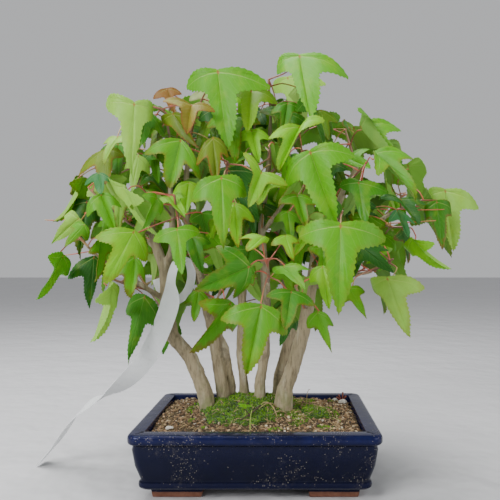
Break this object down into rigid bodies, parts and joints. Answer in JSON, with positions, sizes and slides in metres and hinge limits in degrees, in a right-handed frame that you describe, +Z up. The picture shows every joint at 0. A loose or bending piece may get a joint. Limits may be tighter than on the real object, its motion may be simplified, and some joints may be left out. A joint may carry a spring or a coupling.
{
  "type": "potted bonsai tree",
  "caption": "Clump-style trident maple bonsai: slim trunks, three-lobed leaves and moss in a glazed rectangular pot, with a blank loop label tied to a trunk.",
  "frame": {"origin": "on the table, under the middle of the pot and of the whole object's box", "axes": "+X to the right along the pot's long side, +Y to the back, +Z up; the tree's front looks along -Y"},
  "size_m": [0.3794, 0.2192, 0.3378],
  "materials": {
    "bark": "grey-brown maple bark",
    "glaze": "glossy cobalt glaze, near black on the walls, bare terracotta under the feet",
    "label_plastic": "thin white plastic film, satin",
    "leaf": "living maple leaf, soft sheen, red petioles",
    "mesh_plastic": "moulded, matt",
    "moss": "soft green moss",
    "soil": "baked clay and bark granules",
    "stone": "pale grit",
    "wire": "soft drawn wire"
  },
  "bodies": {
    "root": {"pot": "glaze", "drain_mesh_left": "mesh_plastic", "mesh_clip_left": "wire", "drain_mesh_right": "mesh_plastic", "mesh_clip_right": "wire", "soil": "soil", "moss_1": "moss", "moss_2": "moss", "moss_3": "moss", "stone_1": "stone", "stone_2": "stone", "stone_3": "stone", "trunk_1": "bark", "trunk_2": "bark", "trunk_3": "bark", "trunk_4": "bark", "trunk_5": "bark", "trunk_6": "bark", "label_strip": "label_plastic", "shoot_left_low": "leaf", "shoot_left_under": "leaf", "shoot_left_middle": "leaf", "shoot_left_back": "leaf", "shoot_left_top": "leaf", "shoot_knob_top": "leaf", "shoot_knob_front": "leaf", "shoot_second_top": "leaf", "shoot_red_runner": "leaf", "shoot_front_left": "leaf", "shoot_middle_top": "leaf", "shoot_middle_front": "leaf", "shoot_leader_top": "leaf", "shoot_leader_front": "leaf", "shoot_middle_right": "leaf", "shoot_low_front": "leaf", "shoot_low_right": "leaf", "shoot_low_left": "leaf", "shoot_right_front": "leaf", "shoot_right_low": "leaf", "shoot_right_middle": "leaf", "shoot_right_top": "leaf", "shoot_right_far": "leaf", "shoot_right_far_low": "leaf", "shoot_back_left": "leaf", "shoot_back_left_low": "leaf", "shoot_back_low": "leaf", "shoot_back_middle": "leaf", "shoot_back_right": "leaf", "shoot_back_right_low": "leaf", "shoot_back_top_left": "leaf", "shoot_back_top_right": "leaf", "shoot_back_far_right": "leaf", "shoot_back_top": "leaf"}
  },
  "joints": []
}
